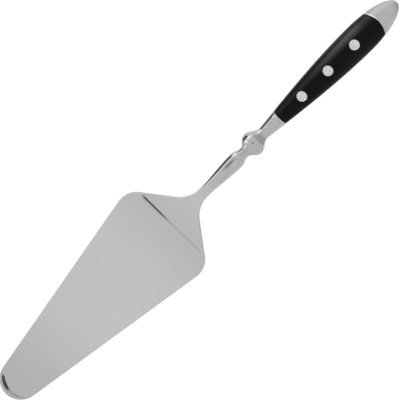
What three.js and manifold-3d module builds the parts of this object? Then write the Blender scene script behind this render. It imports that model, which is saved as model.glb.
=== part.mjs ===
// A cake server: a flat steel blade, a slender neck with a knob, and a riveted grip with a steel pommel.
// Millimetres, +Z up. The blade lies flat and points along -X, and the grip rises along +X.

import * as THREE from "three";
import { mergeVertices } from "three/addons/utils/BufferGeometryUtils.js";
import Module from "manifold-3d";

const wasm = await Module();
wasm.setup();

// Blade, seen from above
const BLADE_LENGTH = 109.2; // crease to tip
const BLADE_THICKNESS = 1.8;
const TIP_RADIUS = 9.7;
const SIDE_ANGLE = THREE.MathUtils.degToRad(9.55); // middle line to a long side
const HEEL_SETBACK = 3.6; // crease to the corner of a long side and its shoulder
const HEEL_RADIUS = 10;
const SHOULDER_ANGLE = THREE.MathUtils.degToRad(52.9); // middle line to a shoulder
const SHOULDER_RADIUS = 13;
const LIP_WIDTH = 2; // thinned rim round the tip
const LIP_DEPTH = 1.1;

// Neck: its widths, and its lengths along the middle line
const NECK_PITCH = THREE.MathUtils.degToRad(12);
const STEM_WIDTH = 5.06;
const STEM_LENGTH = 20.9; // shoulders to collar
const COLLAR_WIDTH = 7.6;
const COLLAR_LENGTH = 6; // collar to waist
const WAIST_WIDTH = 5;
const WAIST_LENGTH = 5.6; // waist to knob
const KNOB_WIDTH = 11.8;
const KNOB_LENGTH = 7.5; // knob to throat
const THROAT_WIDTH = 5.7;
const BOLSTER_LENGTH = 10.9; // throat to grip
const BOLSTER_WIDTH = 8.2;
const STEM_BLEND = 6; // the heel's plate runs out inside the stem over this length
const BEND_REACH = 5; // half the length of the bend between neck and grip

// Neck from the side: it rises from the stem to a ridge on the knob and drops to the throat
const RIDGE_BACK = 3.7; // widest place of the knob to its ridge
const RIDGE_HEIGHT = 10.2;
const THROAT_HEIGHT = 5.4;
const RISE_POWER = 1.3; // 1 is straight, and more is hollow
const DROP_POWER = 1.4;

// How level a swelling of the neck starts and ends, as a share of its length
const STEM_EASE = 0.35;
const COLLAR_EASE = 0.6;
const KNOB_FRONT_EASE = 0.5;
const KNOB_BACK_EASE = 0.35;
const THROAT_EASE = 0.55;

// Grip
const GRIP_PITCH = THREE.MathUtils.degToRad(17.5);
const GRIP_WIDTH = 15.24;
const SCALE_LENGTH = 65.9; // along the middle line
const SCALE_END_BULGE = 3.8; // how far the round end of a scale stands out
const POMMEL_LENGTH = 11.9; // past the scales, along the middle line
const NOSE_LENGTH = 24.6; // the rounded end, from the widest place
const BELLY_LENGTH = 32; // bolster to where the swelling side would reach full width
const TANG_THICKNESS = 2.5;
const TONGUE_WIDTH = 5; // what the pommel is slotted onto
const TONGUE_COVER = 5.4; // pommel left past the end of the tongue

// Sections of stem and grip: height as a share of width, and how square the round is
const STEM_ASPECT = 0.6;
const BOLSTER_ASPECT = 0.9;
const GRIP_ASPECT = 0.64;
const SECTION_POWER = 2.6;

// Two-part rivets
const RIVET_COUNT = 3;
const RIVET_START = 15.3; // bolster to the first rivet
const RIVET_END = 15.4; // last rivet to the end of the scales
const HEAD_DIAMETER = 5;
const HEAD_DEPTH = 1.2; // a head's seat under the top of the grip
const STUD_DIAMETER = 2.2;
const SLEEVE_WALL = 0.6;
const SLEEVE_FLOOR = 0.6;

// Fits and fineness
const SEAT_GAP = 0.2;
const RIVET_GAP = 0.15;
const CURVE_STEPS = 8;
const ARC_STEPS = 16;
const SECTION_SIDES = 28;
const MERGE_DISTANCE = 1e-4;

// Places that follow from the sizes
const TIP_CENTRE = TIP_RADIUS - BLADE_LENGTH;
const SIDE_APEX = TIP_CENTRE - TIP_RADIUS / Math.sin(SIDE_ANGLE);
const HEEL_HALF = (-HEEL_SETBACK - SIDE_APEX) * Math.tan(SIDE_ANGLE);
const STEM_HALF = STEM_WIDTH / 2;
const STEM_END_RADIUS = STEM_HALF / 2;
const SHOULDER_END = (HEEL_HALF - STEM_HALF) / Math.tan(SHOULDER_ANGLE) - HEEL_SETBACK;
const FILLET_END = SHOULDER_END + SHOULDER_RADIUS * Math.tan(SHOULDER_ANGLE / 2);
const STEM_START = FILLET_END / Math.cos(NECK_PITCH);
const COLLAR_AT = STEM_START + STEM_LENGTH;
const WAIST_AT = COLLAR_AT + COLLAR_LENGTH;
const KNOB_AT = WAIST_AT + WAIST_LENGTH;
const RIDGE_AT = KNOB_AT + RIDGE_BACK;
const THROAT_AT = KNOB_AT + KNOB_LENGTH;
const GRIP_AT = THROAT_AT + BOLSTER_LENGTH;
const GRIP_LENGTH = SCALE_LENGTH + POMMEL_LENGTH;
const NOSE_AT = GRIP_AT + GRIP_LENGTH - NOSE_LENGTH;
const SCALE_END_RADIUS = ((GRIP_WIDTH / 2) ** 2 + SCALE_END_BULGE ** 2) / (2 * SCALE_END_BULGE);
const SCALE_END_CENTRE = SCALE_LENGTH - SCALE_END_RADIUS;
const TANG_HALF = TANG_THICKNESS / 2;
const SCALE_FACE = TANG_HALF + SEAT_GAP;
const TONGUE_LENGTH = POMMEL_LENGTH - TONGUE_COVER;
const RIVET_PITCH = (SCALE_LENGTH - RIVET_START - RIVET_END) / (RIVET_COUNT - 1);
const BORE_RADIUS = STUD_DIAMETER / 2 + RIVET_GAP;
const SLEEVE_RADIUS = BORE_RADIUS + SLEEVE_WALL;
const PAST = STEM_HALF; // how far a cutter runs past what it cuts
const GRIP_CLEAR = GRIP_WIDTH + PAST; // past the grip on every side

const steel = () => new THREE.MeshStandardMaterial({ color: 0xc3c4c6, roughness: 0.22, metalness: 1 });
const acetal = () => new THREE.MeshStandardMaterial({ color: 0x1b1b1c, roughness: 0.45, metalness: 0 });
const aluminium = () => new THREE.MeshStandardMaterial({ color: 0xd6d6d4, roughness: 0.4, metalness: 1 });

// A closed geometry as a solid that can be joined and cut.
function solidOf(geometry) {
  const bare = new THREE.BufferGeometry();
  bare.setAttribute("position", geometry.attributes.position);
  bare.setIndex(geometry.index);
  const merged = mergeVertices(bare, MERGE_DISTANCE);
  const vertProperties = merged.attributes.position.array;
  const triVerts = new Uint32Array(merged.index.array);
  return new wasm.Manifold(new wasm.Mesh({ numProp: 3, vertProperties, triVerts }));
}

// A solid as one named mesh.
function meshOf(name, solid, material) {
  const { vertProperties, triVerts, numProp } = solid.getMesh();
  const geometry = new THREE.BufferGeometry();
  geometry.setAttribute("position", new THREE.BufferAttribute(vertProperties, numProp));
  geometry.setIndex(new THREE.BufferAttribute(triVerts, 1));
  geometry.computeVertexNormals();
  const mesh = new THREE.Mesh(geometry, material);
  mesh.name = name;
  return mesh;
}

// A flat shape made thick from one height to another.
function slab(shape, low, high) {
  const options = { depth: high - low, bevelEnabled: false, curveSegments: ARC_STEPS };
  return new THREE.ExtrudeGeometry(shape, options).translate(0, 0, low);
}

// An upright round bar at a place along the grip.
function roundBar(at, radius, low, high) {
  const bar = new THREE.CylinderGeometry(radius, radius, high - low, SECTION_SIDES);
  return bar.rotateX(Math.PI / 2).translate(at, 0, (low + high) / 2);
}

// An outline through corners, each rounded by an arc that is tangent to both its edges.
function roundedShape(corners) {
  const shape = new THREE.Shape();
  corners.forEach(({ at, radius }, i) => {
    const back = corners.at(i - 1).at.clone().sub(at).normalize();
    const ahead = corners[(i + 1) % corners.length].at.clone().sub(at).normalize();
    const halfAngle = back.angleTo(ahead) / 2;
    const toCentre = radius / Math.sin(halfAngle);
    const centre = back.clone().add(ahead).setLength(toCentre).add(at);
    const reach = radius / Math.tan(halfAngle);
    const start = back.clone().multiplyScalar(reach).add(at).sub(centre).angle();
    const end = ahead.clone().multiplyScalar(reach).add(at).sub(centre).angle();
    shape.absarc(centre.x, centre.y, radius, start, end, back.cross(ahead) > 0);
  });
  return shape;
}

// The blade and its heel from above: round tip, straight sides, and shoulders that sweep into the stem.
function bladeOutline() {
  const stemEnd = FILLET_END + STEM_BLEND;
  const lowerSide = [
    { at: new THREE.Vector2(-HEEL_SETBACK, -HEEL_HALF), radius: HEEL_RADIUS },
    { at: new THREE.Vector2(SHOULDER_END, -STEM_HALF), radius: SHOULDER_RADIUS },
    { at: new THREE.Vector2(stemEnd, -STEM_HALF), radius: STEM_END_RADIUS },
  ];
  const mirrored = ({ at, radius }) => ({ at: new THREE.Vector2(at.x, -at.y), radius });
  const tip = { at: new THREE.Vector2(SIDE_APEX, 0), radius: TIP_RADIUS };
  return roundedShape([tip, ...lowerSide, ...lowerSide.map(mirrored).reverse()]);
}

// The middle line of neck and grip in the plane of symmetry: straight, one bend at the throat, straight.
function spineCurve() {
  const neckWay = new THREE.Vector3(Math.cos(NECK_PITCH), 0, Math.sin(NECK_PITCH));
  const gripWay = new THREE.Vector3(Math.cos(GRIP_PITCH), 0, Math.sin(GRIP_PITCH));
  const crease = new THREE.Vector3(0, 0, BLADE_THICKNESS / 2);
  const throat = crease.clone().addScaledVector(neckWay, THROAT_AT);
  const bendStart = throat.clone().addScaledVector(neckWay, -BEND_REACH);
  const bendEnd = throat.clone().addScaledVector(gripWay, BEND_REACH);
  const end = throat.clone().addScaledVector(gripWay, BOLSTER_LENGTH + GRIP_LENGTH);
  const spine = new THREE.CurvePath();
  spine.add(new THREE.LineCurve3(crease, bendStart));
  spine.add(new THREE.QuadraticBezierCurve3(bendStart, throat, bendEnd));
  spine.add(new THREE.LineCurve3(bendEnd, end));
  return spine;
}

// Half the width of neck and grip along the middle line, from inside the heel to the end of the pommel.
function barProfile() {
  const profile = new THREE.Path();
  const swell = (to, width, lead, trail) => {
    const from = profile.currentPoint.clone();
    const length = to - from.x;
    profile.bezierCurveTo(from.x + lead * length, from.y, to - trail * length, width / 2, to, width / 2);
  };
  profile.moveTo(0, 0);
  profile.lineTo(0, BLADE_THICKNESS / 2);
  profile.lineTo(STEM_START, STEM_HALF);
  swell(COLLAR_AT, COLLAR_WIDTH, STEM_EASE, STEM_EASE);
  swell(WAIST_AT, WAIST_WIDTH, COLLAR_EASE, COLLAR_EASE);
  swell(KNOB_AT, KNOB_WIDTH, KNOB_FRONT_EASE, KNOB_FRONT_EASE);
  swell(THROAT_AT, THROAT_WIDTH, KNOB_BACK_EASE, THROAT_EASE);
  profile.lineTo(GRIP_AT, BOLSTER_WIDTH / 2);
  profile.quadraticCurveTo(GRIP_AT + BELLY_LENGTH, GRIP_WIDTH / 2, NOSE_AT, GRIP_WIDTH / 2);
  profile.absellipse(NOSE_AT, 0, NOSE_LENGTH, GRIP_WIDTH / 2, Math.PI / 2, 0, true);
  return profile;
}

// Half the height at a place along the middle line, where half the width is known.
function heightAt(along, half) {
  const { lerp, mapLinear } = THREE.MathUtils;
  if (along < STEM_START) {
    return half * STEM_ASPECT;
  }
  if (along < RIDGE_AT) {
    const share = mapLinear(along, STEM_START, RIDGE_AT, 0, 1);
    return lerp(STEM_HALF * STEM_ASPECT, RIDGE_HEIGHT / 2, share ** RISE_POWER);
  }
  if (along < THROAT_AT) {
    const share = mapLinear(along, THROAT_AT, RIDGE_AT, 0, 1);
    return lerp(THROAT_HEIGHT / 2, RIDGE_HEIGHT / 2, share ** DROP_POWER);
  }
  if (along < GRIP_AT) {
    return mapLinear(along, THROAT_AT, GRIP_AT, THROAT_HEIGHT / 2, (BOLSTER_WIDTH * BOLSTER_ASPECT) / 2);
  }
  return half * mapLinear(Math.min(along, NOSE_AT), GRIP_AT, NOSE_AT, BOLSTER_ASPECT, GRIP_ASPECT);
}

// Half the height of the grip on its middle line, at a place along it.
function gripRise(at) {
  const along = GRIP_AT + at;
  const points = barProfile().getPoints(CURVE_STEPS);
  const next = points.findIndex(({ x }) => x > along);
  const [before, after] = points.slice(next - 1, next + 1);
  const half = THREE.MathUtils.mapLinear(along, before.x, after.x, before.y, after.y);
  return heightAt(along, half);
}

// Neck and grip as one bar: the profile turned, its sections squared off, given their height and laid
// along the spine.
function barGeometry(spine) {
  const turned = barProfile().getPoints(CURVE_STEPS).map(({ x, y }) => new THREE.Vector2(y, x));
  const geometry = new THREE.LatheGeometry(turned, SECTION_SIDES);
  const squared = (share) => Math.sign(share) * Math.abs(share) ** (2 / SECTION_POWER);
  const { position } = geometry.attributes;
  const length = spine.getLength();
  for (let i = 0; i < position.count; i++) {
    const along = position.getY(i);
    const round = new THREE.Vector2(position.getZ(i), position.getX(i));
    const side = round.length() * squared(Math.cos(round.angle()));
    const rise = heightAt(along, round.length()) * squared(Math.sin(round.angle()));
    const place = spine.getPoint(Math.min(along / length, 1));
    const way = spine.getTangent(Math.min(along / length, 1));
    position.setXYZ(i, place.x - rise * way.z, side, place.z + rise * way.x);
  }
  return geometry;
}

// Blade and heel: flat to the crease, then rising and thickening until they run out inside the stem.
function bladePlate(spine) {
  const stemThickness = STEM_WIDTH * STEM_ASPECT;
  const upright = new THREE.Vector2(-Math.sin(NECK_PITCH), Math.cos(NECK_PITCH));
  const rootTop = upright.multiplyScalar(stemThickness / 2);
  const onSpine = (along) => {
    const place = spine.getPoint(along / spine.getLength());
    return new THREE.Vector2(place.x, place.z);
  };
  const root = onSpine(STEM_START);
  const runOut = onSpine(STEM_START + STEM_BLEND);
  const front = -BLADE_LENGTH - PAST;
  const side = new THREE.Shape([
    new THREE.Vector2(front, 0),
    new THREE.Vector2(0, 0),
    root.clone().sub(rootTop),
    runOut,
    root.clone().add(rootTop),
    new THREE.Vector2(0, BLADE_THICKNESS),
    new THREE.Vector2(front, BLADE_THICKNESS),
  ]);
  const sideSlab = slab(side, -HEEL_HALF, HEEL_HALF).rotateX(Math.PI / 2);
  const planSlab = slab(bladeOutline(), -PAST, runOut.y + stemThickness);
  return solidOf(planSlab).intersect(solidOf(sideSlab));
}

// What is ground off the top round the tip: a crescent that fades out where the long sides begin.
function lipCutter() {
  const inset = LIP_WIDTH / (1 - Math.sin(SIDE_ANGLE));
  const innerCentre = TIP_CENTRE + inset;
  const innerRadius = TIP_RADIUS + inset * Math.sin(SIDE_ANGLE);
  const left = Math.PI / 2 + SIDE_ANGLE;
  const right = 2 * Math.PI - left;
  const crescent = new THREE.Shape();
  crescent.absarc(TIP_CENTRE, 0, TIP_RADIUS + PAST, left, right, false);
  crescent.absarc(innerCentre, 0, innerRadius, right, left, true);
  return solidOf(slab(crescent, BLADE_THICKNESS - LIP_DEPTH, BLADE_THICKNESS + PAST));
}

// A scale from above: straight at the bolster, round at the pommel, wider than the grip.
function scaleShape(start, endRadius) {
  const shape = new THREE.Shape();
  shape.moveTo(start, endRadius);
  shape.lineTo(start, -endRadius);
  shape.absarc(SCALE_END_CENTRE, 0, endRadius, -Math.PI / 2, Math.PI / 2, false);
  return shape;
}

// Everything past the round end of the scales.
function pommelShape(endRadius) {
  const shape = new THREE.Shape();
  shape.moveTo(SCALE_END_CENTRE, -GRIP_CLEAR);
  shape.lineTo(GRIP_LENGTH + PAST, -GRIP_CLEAR);
  shape.lineTo(GRIP_LENGTH + PAST, GRIP_CLEAR);
  shape.lineTo(SCALE_END_CENTRE, GRIP_CLEAR);
  shape.absarc(SCALE_END_CENTRE, 0, endRadius, Math.PI / 2, -Math.PI / 2, true);
  return shape;
}

// The tongue at the end of the tang, or with a gap the slot that takes it.
function tongue(gap) {
  const length = SCALE_END_RADIUS + TONGUE_LENGTH + gap;
  const box = new THREE.BoxGeometry(length, TONGUE_WIDTH + 2 * gap, TANG_THICKNESS + 2 * gap);
  return box.translate(SCALE_END_CENTRE + length / 2, 0, 0);
}

const rivetPlaces = Array.from({ length: RIVET_COUNT }, (_, i) => RIVET_START + i * RIVET_PITCH);

// How far from the middle plane the flat inside of a rivet head lies.
const headSeat = (at) => gripRise(at) - HEAD_DEPTH;

// Blade, neck and tang: the bar keeps its full section up to the grip, and there only its middle layer.
function bladeForging(spine, bar, gripMatrix) {
  const cutter = (geometry) => solidOf(geometry.applyMatrix4(gripMatrix));
  const pocket = scaleShape(0, SCALE_END_RADIUS + PAST);
  const pommelRoom = cutter(slab(pommelShape(SCALE_END_RADIUS), -GRIP_CLEAR, GRIP_CLEAR));
  let forging = bladePlate(spine)
    .add(solidOf(bar))
    .subtract(lipCutter())
    .subtract(cutter(slab(pocket, TANG_HALF, GRIP_CLEAR)))
    .subtract(cutter(slab(pocket, -GRIP_CLEAR, -TANG_HALF)))
    .subtract(pommelRoom.subtract(cutter(tongue(0))));
  for (const at of rivetPlaces) {
    forging = forging.subtract(cutter(roundBar(at, SLEEVE_RADIUS + RIVET_GAP, -GRIP_CLEAR, GRIP_CLEAR)));
  }
  return meshOf("blade_forging", forging, steel());
}

// One scale, up for +1 and down for -1, bored and counterbored for the rivets.
function scale(name, grip, up) {
  const layer = (low, high) => (up > 0 ? [low, high] : [-high, -low]);
  const blank = slab(scaleShape(SEAT_GAP, SCALE_END_RADIUS), ...layer(SCALE_FACE, GRIP_CLEAR));
  let body = grip.intersect(solidOf(blank));
  for (const at of rivetPlaces) {
    const bore = roundBar(at, SLEEVE_RADIUS + RIVET_GAP, -GRIP_CLEAR, GRIP_CLEAR);
    const floor = headSeat(at) - SEAT_GAP;
    const counterbore = roundBar(at, HEAD_DIAMETER / 2 + RIVET_GAP, ...layer(floor, GRIP_CLEAR));
    body = body.subtract(solidOf(bore)).subtract(solidOf(counterbore));
  }
  return meshOf(name, body, acetal());
}

// The steel end of the grip, slotted for the tongue.
function pommelCap(grip) {
  const blank = slab(pommelShape(SCALE_END_RADIUS + SEAT_GAP), -GRIP_CLEAR, GRIP_CLEAR);
  const body = grip.intersect(solidOf(blank)).subtract(solidOf(tongue(SEAT_GAP)));
  return meshOf("pommel_cap", body, steel());
}

// The upper half of a rivet: a head ground flush with the scale, on a solid shank.
function rivetStud(number, at, grip) {
  const seat = headSeat(at);
  const head = solidOf(roundBar(at, HEAD_DIAMETER / 2, seat, GRIP_CLEAR)).intersect(grip);
  const shank = roundBar(at, STUD_DIAMETER / 2, SLEEVE_FLOOR + SEAT_GAP - seat, seat + HEAD_DEPTH / 2);
  return meshOf(`rivet_stud_${number}`, head.add(solidOf(shank)), aluminium());
}

// The lower half of a rivet: a head on a tube that the shank is driven into.
function rivetSleeve(number, at, grip) {
  const seat = headSeat(at);
  const head = solidOf(roundBar(at, HEAD_DIAMETER / 2, -GRIP_CLEAR, -seat)).intersect(grip);
  const tube = roundBar(at, SLEEVE_RADIUS, -seat - HEAD_DEPTH / 2, seat - 2 * SEAT_GAP);
  const bore = roundBar(at, BORE_RADIUS, SLEEVE_FLOOR - seat, seat);
  const body = head.add(solidOf(tube)).subtract(solidOf(bore));
  return meshOf(`rivet_sleeve_${number}`, body, aluminium());
}

// The grip's pieces stand in a group of their own that starts at the bolster and rises with the tang.
function build() {
  const spine = spineCurve();
  const handle = new THREE.Group();
  handle.position.copy(spine.getPoint(1));
  handle.rotation.y = -GRIP_PITCH;
  handle.translateX(-GRIP_LENGTH);
  handle.updateMatrix();
  const bar = barGeometry(spine);
  const grip = solidOf(bar.clone().applyMatrix4(handle.matrix.clone().invert()));
  handle.add(scale("upper_scale", grip, 1), scale("lower_scale", grip, -1), pommelCap(grip));
  rivetPlaces.forEach((at, i) => handle.add(rivetStud(i + 1, at, grip), rivetSleeve(i + 1, at, grip)));

  const server = new THREE.Group();
  server.add(bladeForging(spine, bar, handle.matrix), handle);
  const box = new THREE.Box3().setFromObject(server, true);
  const middle = box.getCenter(new THREE.Vector3());
  server.position.set(-middle.x, -middle.y, -box.min.z); // origin under the middle of the whole piece
  return server;
}

export default build();
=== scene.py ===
"""Looks of a cake server: ground steel forging, black scales, aluminium rivets and a steel pommel.

Sizes are in millimetres in the server's drawing frame: x runs from the crease of the blade towards the
grip, y across the blade, and z up from the underside of the blade. Finished meshes are in metres in the
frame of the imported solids.
"""

import logging
import math
from dataclasses import dataclass, field
from enum import Enum
from typing import Any, Callable

import bmesh
import bpy
from mathutils import Matrix, Vector
from mathutils.geometry import interpolate_bezier


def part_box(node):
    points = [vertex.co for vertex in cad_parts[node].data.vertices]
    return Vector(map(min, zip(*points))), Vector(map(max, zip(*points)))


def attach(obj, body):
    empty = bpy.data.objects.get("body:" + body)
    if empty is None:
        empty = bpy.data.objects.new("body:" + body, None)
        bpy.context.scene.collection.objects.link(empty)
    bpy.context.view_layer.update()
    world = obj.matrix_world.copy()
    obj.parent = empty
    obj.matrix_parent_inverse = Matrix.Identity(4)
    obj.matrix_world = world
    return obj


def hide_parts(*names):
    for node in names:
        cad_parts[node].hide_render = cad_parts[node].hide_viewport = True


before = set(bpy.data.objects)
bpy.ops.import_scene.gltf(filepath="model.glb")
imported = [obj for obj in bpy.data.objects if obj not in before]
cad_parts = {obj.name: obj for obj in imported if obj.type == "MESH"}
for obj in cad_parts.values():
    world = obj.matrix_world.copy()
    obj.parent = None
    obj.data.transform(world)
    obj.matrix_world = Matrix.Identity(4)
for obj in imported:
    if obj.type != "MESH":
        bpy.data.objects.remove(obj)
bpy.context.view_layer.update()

LOG = logging.getLogger("server")
MM = 0.001
WELD = 1e-4  # points closer than this are one point, in mm
ROUNDS = 8  # repeats that settle a place which depends on itself
NOISE_LOW, NOISE_HIGH = 0.3, 0.7  # a noise texture seldom leaves these values
FINE_LAYERS = 3.0  # finer and finer noise over the coarse one
COLOUR_A, COLOUR_B, COLOUR_OUT = 6, 7, 2  # sockets of a Mix node that mixes colours
NUMBER_A, NUMBER_B = 2, 3  # sockets of a Mix node that mixes numbers
SRGB_KNEE, SRGB_SLOPE, SRGB_LIFT, SRGB_POWER = 0.04045, 12.92, 0.055, 2.4  # tone curve of sRGB colours
Numbers = list[float]
Inputs = dict[str | int, Any]  # what the sockets of a node get, by name or number
Feed = float | bpy.types.NodeSocket  # a value, or the socket that gives it


class Side(Enum):
    """Which face of the grip a piece belongs to."""

    UPPER = 1
    LOWER = -1


def smooth(low: float, high: float, value: float) -> float:
    """Eased step from 0 at low to 1 at high."""
    share = min(max((value - low) / (high - low), 0.0), 1.0)
    return share * share * (3 - 2 * share)


def mix(start: float, end: float, share: float) -> float:
    """Value that lies at a share of the way from start to end."""
    return start + (end - start) * share


def spread(start: float, end: float, count: int) -> Numbers:
    """Evenly spaced values, with both ends."""
    return [mix(start, end, i / (count - 1)) for i in range(count)]


def linear(code: str) -> tuple[float, float, float, float]:
    """Linear colour of an sRGB hex code.

    Args:
        code: Six hex digits, such as "c9cacc".

    Returns:
        Red, green, blue and alpha for a colour socket.
    """
    shares = [int(code[i:i + 2], 16) / 255 for i in (0, 2, 4)]
    red, green, blue = (
        share / SRGB_SLOPE if share <= SRGB_KNEE else ((share + SRGB_LIFT) / (1 + SRGB_LIFT)) ** SRGB_POWER
        for share in shares)
    return red, green, blue, 1.0


def add_node(tree: bpy.types.NodeTree, kind: str, inputs: Inputs, **settings: Any) -> bpy.types.Node:
    """Adds one node with its settings, values and links.

    Args:
        tree: Node tree that gets the node.
        kind: Blender's name of the node type.
        inputs: Socket name or number to a value, or to the output socket that feeds it.
        settings: Properties of the node.

    Returns:
        The new node.
    """
    node = tree.nodes.new(kind)
    for name, value in settings.items():
        setattr(node, name, value)
    for socket, value in inputs.items():
        if isinstance(value, bpy.types.NodeSocket):
            tree.links.new(value, node.inputs[socket])
        else:
            node.inputs[socket].default_value = value
    return node


def per_mm(size: float) -> float:
    """Noise scale that gives features of a size in mm on coordinates in metres."""
    return 1 / (size * MM)


def start_material(name: str) -> tuple[bpy.types.Material, bpy.types.NodeTree, bpy.types.Node]:
    """Starts a material whose output is one Principled shader.

    Args:
        name: Name of the material.

    Returns:
        The material, its node tree and its Principled shader.
    """
    material = bpy.data.materials.new(name)
    material.use_nodes = True
    tree = material.node_tree
    return material, tree, tree.nodes["Principled BSDF"]


@dataclass(frozen=True)
class Ramp:
    """An eased change of tone between two places, which are in mm."""

    start: float
    end: float
    first: float
    last: float


@dataclass(frozen=True)
class GroundSteel:
    """Forged 18/10 stainless steel, ground lengthwise and polished on a felt wheel.

    The eye sees an even satin grey that mirrors its surroundings softly, faint lines along the length,
    painted shade towards the tip and around the blade's bend, and places of another tone: painted shade in
    the crease, painted dark reflections and shade on the neck, and painted highlights on the neck and on the
    pommel's front edge.
    """

    name: str = "Stainless steel, forged and polished"
    colour: str = "cacaca"
    painted_shade_colour: str = "262625"
    painted_highlight_colour: str = "ffffff"
    roughness: float = 0.19
    roughness_spread: float = 0.04
    line_width: float = 0.5  # grinding lines are finer, and are drawn this coarse so that they show
    line_length: float = 40.0
    line_depth: float = 0.02
    line_relief: float = 0.04
    blade_contrast: float = 0.006
    neck_contrast: float = 0.13
    cloud_size: float = 14.0
    cloud_contrast: float = 0.012
    # Painted shade towards the tip, where the slightly curved blade would mirror darker.
    tip_shade: Ramp = Ramp(start=-122.0, end=-72.0, first=0.84, last=1.0)
    neck_shade: Ramp = Ramp(start=-6.0, end=16.0, first=1.0, last=0.83)
    # Painted shade on either side of the blade's bend, where its curve would mirror darker.
    bend_middle: float = -18.5
    bend_shade: Ramp = Ramp(start=0.0, end=26.0, first=0.9, last=1.0)  # to either side of the middle

    def material(self) -> bpy.types.Material:
        """Builds the node material.

        Returns:
            The material. It reads the attribute "corner": above 0 it paints shade on the steel, below 0 a
            highlight.
        """
        material, tree, shader = start_material(self.name)
        coord = add_node(tree, "ShaderNodeTexCoord", {}).outputs["Object"]
        stretch = (per_mm(self.line_length), per_mm(self.line_width), per_mm(self.line_width))
        along = add_node(tree, "ShaderNodeMapping", {"Vector": coord, "Scale": stretch})
        lines = add_node(
            tree, "ShaderNodeTexNoise", {"Vector": along.outputs[0], "Scale": 1.0, "Detail": FINE_LAYERS})
        clouds = add_node(tree, "ShaderNodeTexNoise", {"Vector": coord, "Scale": per_mm(self.cloud_size)})
        place = add_node(tree, "ShaderNodeSeparateXYZ", {0: coord}).outputs["X"]
        contrast = add_node(
            tree, "ShaderNodeMapRange",
            {"Value": place, "From Min": self.neck_shade.start * MM, "From Max": self.neck_shade.end * MM,
             "To Min": self.blade_contrast, "To Max": self.neck_contrast})
        uneven = add_node(
            tree, "ShaderNodeMapRange",
            {"Value": lines.outputs["Fac"], "From Min": NOISE_LOW, "From Max": NOISE_HIGH,
             "To Min": -1.0, "To Max": 1.0})
        streaky = add_node(
            tree, "ShaderNodeMath", {0: uneven.outputs[0], 1: contrast.outputs[0], 2: 1.0},
            operation="MULTIPLY_ADD")
        cloudy = add_node(
            tree, "ShaderNodeMapRange",
            {"Value": clouds.outputs["Fac"], "From Min": NOISE_LOW, "From Max": NOISE_HIGH,
             "To Min": 1 - self.cloud_contrast, "To Max": 1 + self.cloud_contrast})
        off = add_node(
            tree, "ShaderNodeMath", {0: place, 1: self.bend_middle * MM}, operation="SUBTRACT")
        away = add_node(tree, "ShaderNodeMath", {0: off.outputs[0]}, operation="ABSOLUTE").outputs[0]
        shade = add_node(
            tree, "ShaderNodeMath", {0: streaky.outputs[0], 1: cloudy.outputs[0]}, operation="MULTIPLY")
        # Tone ramps: painted shade towards the tip and around the bend, and the neck's darker satin.
        for value, ramp in ((place, self.tip_shade), (away, self.bend_shade), (place, self.neck_shade)):
            tone = add_node(
                tree, "ShaderNodeMapRange",
                {"Value": value, "From Min": ramp.start * MM, "From Max": ramp.end * MM,
                 "To Min": ramp.first, "To Max": ramp.last}, interpolation_type="SMOOTHSTEP")
            shade = add_node(
                tree, "ShaderNodeMath", {0: shade.outputs[0], 1: tone.outputs[0]}, operation="MULTIPLY")
        bare = add_node(
            tree, "ShaderNodeMix", {0: 1.0, COLOUR_A: linear(self.colour), COLOUR_B: shade.outputs[0]},
            data_type="RGBA", blend_type="MULTIPLY")
        # The attribute "corner" paints shade above 0 and a highlight below 0.
        corner = add_node(tree, "ShaderNodeAttribute", {}, attribute_name="corner")
        with_painted_shade = add_node(
            tree, "ShaderNodeMix",
            {0: corner.outputs["Fac"], COLOUR_A: bare.outputs[COLOUR_OUT],
             COLOUR_B: linear(self.painted_shade_colour)}, data_type="RGBA")
        bright = add_node(tree, "ShaderNodeMath", {0: corner.outputs["Fac"], 1: -1.0}, operation="MULTIPLY")
        with_painted_highlight = add_node(
            tree, "ShaderNodeMix",
            {0: bright.outputs[0], COLOUR_A: with_painted_shade.outputs[COLOUR_OUT],
             COLOUR_B: linear(self.painted_highlight_colour)}, data_type="RGBA")
        rough = add_node(
            tree, "ShaderNodeMapRange",
            {"Value": lines.outputs["Fac"], "To Min": self.roughness - self.roughness_spread,
             "To Max": self.roughness + self.roughness_spread})
        bump = add_node(
            tree, "ShaderNodeBump",
            {"Height": lines.outputs["Fac"], "Strength": self.line_relief, "Distance": self.line_depth * MM})
        shader.inputs["Metallic"].default_value = 1.0
        tree.links.new(with_painted_highlight.outputs[COLOUR_OUT], shader.inputs["Base Color"])
        tree.links.new(rough.outputs[0], shader.inputs["Roughness"])
        tree.links.new(bump.outputs[0], shader.inputs["Normal"])
        return material


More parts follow.
